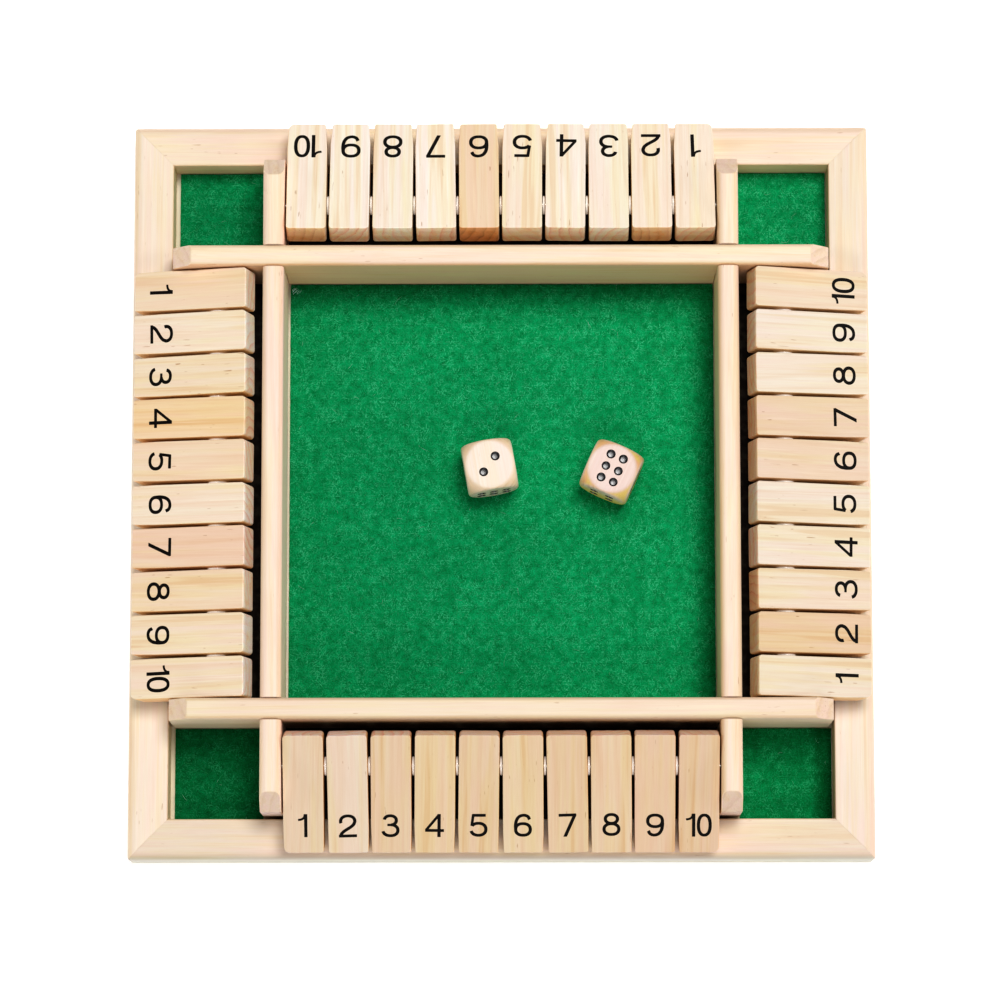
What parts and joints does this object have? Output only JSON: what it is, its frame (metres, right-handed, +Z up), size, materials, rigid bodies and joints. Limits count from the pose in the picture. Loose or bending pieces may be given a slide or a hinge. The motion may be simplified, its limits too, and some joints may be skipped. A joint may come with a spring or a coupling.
{
  "type": "shut the box game board",
  "caption": "Square wooden dice tray for four players, with flip-down number tiles hinged on steel rods along each side, corner pockets and two dice.",
  "frame": {"origin": "centre of the underside of the square frame, on the table", "axes": "+Z up; -Y towards the front player, who reads tiles 1 to 10 from left to right; +X to that player's right"},
  "size_m": [0.232, 0.232, 0.034],
  "materials": {
    "rail_wood": "satin, sanded pale softwood",
    "divider_wood": "satin, sanded pale softwood",
    "tile_wood": "satin, sanded pale wood, colour varies from tile to tile",
    "panel_wood": "matte thin plywood",
    "die_wood": "satin, tumbled edges",
    "green_felt": "matte wool-like felt, glued down",
    "rod_steel": "drawn steel wire",
    "spacer_nylon": "glossy off-white nylon",
    "number_ink": "satin black print",
    "pip_paint": "glossy black paint in drilled pips"
  },
  "bodies": {
    "tray": {"front_rail": "rail_wood", "back_rail": "rail_wood", "left_rail": "rail_wood", "right_rail": "rail_wood", "base_panel": "panel_wood", "field_felt": "green_felt", "pocket_felts": "green_felt", "front_divider": "divider_wood", "back_divider": "divider_wood", "left_divider": "divider_wood", "right_divider": "divider_wood", "front_rod": "rod_steel", "back_rod": "rod_steel", "left_rod": "rod_steel", "right_rod": "rod_steel", "tile_spacers": "spacer_nylon"},
    "front_tile_1": {"front_tile_1": "tile_wood"},
    "front_tile_2": {"front_tile_2": "tile_wood"},
    "front_tile_3": {"front_tile_3": "tile_wood"},
    "front_tile_4": {"front_tile_4": "tile_wood"},
    "front_tile_5": {"front_tile_5": "tile_wood"},
    "front_tile_6": {"front_tile_6": "tile_wood"},
    "front_tile_7": {"front_tile_7": "tile_wood"},
    "front_tile_8": {"front_tile_8": "tile_wood"},
    "front_tile_9": {"front_tile_9": "tile_wood"},
    "front_tile_10": {"front_tile_10": "tile_wood"},
    "right_tile_1": {"right_tile_1": "tile_wood"},
    "right_tile_2": {"right_tile_2": "tile_wood"},
    "right_tile_3": {"right_tile_3": "tile_wood"},
    "right_tile_4": {"right_tile_4": "tile_wood"},
    "right_tile_5": {"right_tile_5": "tile_wood"},
    "right_tile_6": {"right_tile_6": "tile_wood"},
    "right_tile_7": {"right_tile_7": "tile_wood"},
    "right_tile_8": {"right_tile_8": "tile_wood"},
    "right_tile_9": {"right_tile_9": "tile_wood"},
    "right_tile_10": {"right_tile_10": "tile_wood"},
    "back_tile_1": {"back_tile_1": "tile_wood"},
    "back_tile_2": {"back_tile_2": "tile_wood"},
    "back_tile_3": {"back_tile_3": "tile_wood"},
    "back_tile_4": {"back_tile_4": "tile_wood"},
    "back_tile_5": {"back_tile_5": "tile_wood"},
    "back_tile_6": {"back_tile_6": "tile_wood"},
    "back_tile_7": {"back_tile_7": "tile_wood"},
    "back_tile_8": {"back_tile_8": "tile_wood"},
    "back_tile_9": {"back_tile_9": "tile_wood"},
    "back_tile_10": {"back_tile_10": "tile_wood"},
    "left_tile_1": {"left_tile_1": "tile_wood"},
    "left_tile_2": {"left_tile_2": "tile_wood"},
    "left_tile_3": {"left_tile_3": "tile_wood"},
    "left_tile_4": {"left_tile_4": "tile_wood"},
    "left_tile_5": {"left_tile_5": "tile_wood"},
    "left_tile_6": {"left_tile_6": "tile_wood"},
    "left_tile_7": {"left_tile_7": "tile_wood"},
    "left_tile_8": {"left_tile_8": "tile_wood"},
    "left_tile_9": {"left_tile_9": "tile_wood"},
    "left_tile_10": {"left_tile_10": "tile_wood"},
    "left_die": {"left_die": "die_wood"},
    "right_die": {"right_die": "die_wood"}
  },
  "joints": [
    {"name": "front_tile_1_flip", "type": "hinge", "parent": "tray", "child": "front_tile_1", "pos_m": [-0.06075, -0.088, 0.02646], "axis": [-1, 0, 0], "range_deg": [0, 149]},
    {"name": "front_tile_2_flip", "type": "hinge", "parent": "tray", "child": "front_tile_2", "pos_m": [-0.04725, -0.088, 0.02646], "axis": [-1, 0, 0], "range_deg": [0, 149]},
    {"name": "front_tile_3_flip", "type": "hinge", "parent": "tray", "child": "front_tile_3", "pos_m": [-0.03375, -0.088, 0.02646], "axis": [-1, 0, 0], "range_deg": [0, 149]},
    {"name": "front_tile_4_flip", "type": "hinge", "parent": "tray", "child": "front_tile_4", "pos_m": [-0.02025, -0.088, 0.02646], "axis": [-1, 0, 0], "range_deg": [0, 149]},
    {"name": "front_tile_5_flip", "type": "hinge", "parent": "tray", "child": "front_tile_5", "pos_m": [-0.00675, -0.088, 0.02646], "axis": [-1, 0, 0], "range_deg": [0, 149]},
    {"name": "front_tile_6_flip", "type": "hinge", "parent": "tray", "child": "front_tile_6", "pos_m": [0.00675, -0.088, 0.02646], "axis": [-1, 0, 0], "range_deg": [0, 149]},
    {"name": "front_tile_7_flip", "type": "hinge", "parent": "tray", "child": "front_tile_7", "pos_m": [0.02025, -0.088, 0.02646], "axis": [-1, 0, 0], "range_deg": [0, 149]},
    {"name": "front_tile_8_flip", "type": "hinge", "parent": "tray", "child": "front_tile_8", "pos_m": [0.03375, -0.088, 0.02646], "axis": [-1, 0, 0], "range_deg": [0, 149]},
    {"name": "front_tile_9_flip", "type": "hinge", "parent": "tray", "child": "front_tile_9", "pos_m": [0.04725, -0.088, 0.02646], "axis": [-1, 0, 0], "range_deg": [0, 149]},
    {"name": "front_tile_10_flip", "type": "hinge", "parent": "tray", "child": "front_tile_10", "pos_m": [0.06075, -0.088, 0.02646], "axis": [-1, 0, 0], "range_deg": [0, 149]},
    {"name": "right_tile_1_flip", "type": "hinge", "parent": "tray", "child": "right_tile_1", "pos_m": [0.088, -0.06075, 0.02646], "axis": [0, -1, 0], "range_deg": [0, 149]},
    {"name": "right_tile_2_flip", "type": "hinge", "parent": "tray", "child": "right_tile_2", "pos_m": [0.088, -0.04725, 0.02646], "axis": [0, -1, 0], "range_deg": [0, 149]},
    {"name": "right_tile_3_flip", "type": "hinge", "parent": "tray", "child": "right_tile_3", "pos_m": [0.088, -0.03375, 0.02646], "axis": [0, -1, 0], "range_deg": [0, 149]},
    {"name": "right_tile_4_flip", "type": "hinge", "parent": "tray", "child": "right_tile_4", "pos_m": [0.088, -0.02025, 0.02646], "axis": [0, -1, 0], "range_deg": [0, 149]},
    {"name": "right_tile_5_flip", "type": "hinge", "parent": "tray", "child": "right_tile_5", "pos_m": [0.088, -0.00675, 0.02646], "axis": [0, -1, 0], "range_deg": [0, 149]},
    {"name": "right_tile_6_flip", "type": "hinge", "parent": "tray", "child": "right_tile_6", "pos_m": [0.088, 0.00675, 0.02646], "axis": [0, -1, 0], "range_deg": [0, 149]},
    {"name": "right_tile_7_flip", "type": "hinge", "parent": "tray", "child": "right_tile_7", "pos_m": [0.088, 0.02025, 0.02646], "axis": [0, -1, 0], "range_deg": [0, 149]},
    {"name": "right_tile_8_flip", "type": "hinge", "parent": "tray", "child": "right_tile_8", "pos_m": [0.088, 0.03375, 0.02646], "axis": [0, -1, 0], "range_deg": [0, 149]},
    {"name": "right_tile_9_flip", "type": "hinge", "parent": "tray", "child": "right_tile_9", "pos_m": [0.088, 0.04725, 0.02646], "axis": [0, -1, 0], "range_deg": [0, 149]},
    {"name": "right_tile_10_flip", "type": "hinge", "parent": "tray", "child": "right_tile_10", "pos_m": [0.088, 0.06075, 0.02646], "axis": [0, -1, 0], "range_deg": [0, 149]},
    {"name": "back_tile_1_flip", "type": "hinge", "parent": "tray", "child": "back_tile_1", "pos_m": [0.06075, 0.088, 0.02646], "axis": [1, 0, 0], "range_deg": [0, 149]},
    {"name": "back_tile_2_flip", "type": "hinge", "parent": "tray", "child": "back_tile_2", "pos_m": [0.04725, 0.088, 0.02646], "axis": [1, 0, 0], "range_deg": [0, 149]},
    {"name": "back_tile_3_flip", "type": "hinge", "parent": "tray", "child": "back_tile_3", "pos_m": [0.03375, 0.088, 0.02646], "axis": [1, 0, 0], "range_deg": [0, 149]},
    {"name": "back_tile_4_flip", "type": "hinge", "parent": "tray", "child": "back_tile_4", "pos_m": [0.02025, 0.088, 0.02646], "axis": [1, 0, 0], "range_deg": [0, 149]},
    {"name": "back_tile_5_flip", "type": "hinge", "parent": "tray", "child": "back_tile_5", "pos_m": [0.00675, 0.088, 0.02646], "axis": [1, 0, 0], "range_deg": [0, 149]},
    {"name": "back_tile_6_flip", "type": "hinge", "parent": "tray", "child": "back_tile_6", "pos_m": [-0.00675, 0.088, 0.02646], "axis": [1, 0, 0], "range_deg": [0, 149]},
    {"name": "back_tile_7_flip", "type": "hinge", "parent": "tray", "child": "back_tile_7", "pos_m": [-0.02025, 0.088, 0.02646], "axis": [1, 0, 0], "range_deg": [0, 149]},
    {"name": "back_tile_8_flip", "type": "hinge", "parent": "tray", "child": "back_tile_8", "pos_m": [-0.03375, 0.088, 0.02646], "axis": [1, 0, 0], "range_deg": [0, 149]},
    {"name": "back_tile_9_flip", "type": "hinge", "parent": "tray", "child": "back_tile_9", "pos_m": [-0.04725, 0.088, 0.02646], "axis": [1, 0, 0], "range_deg": [0, 149]},
    {"name": "back_tile_10_flip", "type": "hinge", "parent": "tray", "child": "back_tile_10", "pos_m": [-0.06075, 0.088, 0.02646], "axis": [1, 0, 0], "range_deg": [0, 149]},
    {"name": "left_tile_1_flip", "type": "hinge", "parent": "tray", "child": "left_tile_1", "pos_m": [-0.088, 0.06075, 0.02646], "axis": [0, 1, 0], "range_deg": [0, 149]},
    {"name": "left_tile_2_flip", "type": "hinge", "parent": "tray", "child": "left_tile_2", "pos_m": [-0.088, 0.04725, 0.02646], "axis": [0, 1, 0], "range_deg": [0, 149]},
    {"name": "left_tile_3_flip", "type": "hinge", "parent": "tray", "child": "left_tile_3", "pos_m": [-0.088, 0.03375, 0.02646], "axis": [0, 1, 0], "range_deg": [0, 149]},
    {"name": "left_tile_4_flip", "type": "hinge", "parent": "tray", "child": "left_tile_4", "pos_m": [-0.088, 0.02025, 0.02646], "axis": [0, 1, 0], "range_deg": [0, 149]},
    {"name": "left_tile_5_flip", "type": "hinge", "parent": "tray", "child": "left_tile_5", "pos_m": [-0.088, 0.00675, 0.02646], "axis": [0, 1, 0], "range_deg": [0, 149]},
    {"name": "left_tile_6_flip", "type": "hinge", "parent": "tray", "child": "left_tile_6", "pos_m": [-0.088, -0.00675, 0.02646], "axis": [0, 1, 0], "range_deg": [0, 149]},
    {"name": "left_tile_7_flip", "type": "hinge", "parent": "tray", "child": "left_tile_7", "pos_m": [-0.088, -0.02025, 0.02646], "axis": [0, 1, 0], "range_deg": [0, 149]},
    {"name": "left_tile_8_flip", "type": "hinge", "parent": "tray", "child": "left_tile_8", "pos_m": [-0.088, -0.03375, 0.02646], "axis": [0, 1, 0], "range_deg": [0, 149]},
    {"name": "left_tile_9_flip", "type": "hinge", "parent": "tray", "child": "left_tile_9", "pos_m": [-0.088, -0.04725, 0.02646], "axis": [0, 1, 0], "range_deg": [0, 149]},
    {"name": "left_tile_10_flip", "type": "hinge", "parent": "tray", "child": "left_tile_10", "pos_m": [-0.088, -0.06075, 0.02646], "axis": [0, 1, 0], "range_deg": [0, 149]},
    {"name": "left_die_lift", "type": "slide", "parent": "tray", "child": "left_die", "axis": [0, 0, 1], "range_m": [0, 0.045]},
    {"name": "right_die_lift", "type": "slide", "parent": "tray", "child": "right_die", "axis": [0, 0, 1], "range_m": [0, 0.045]}
  ]
}
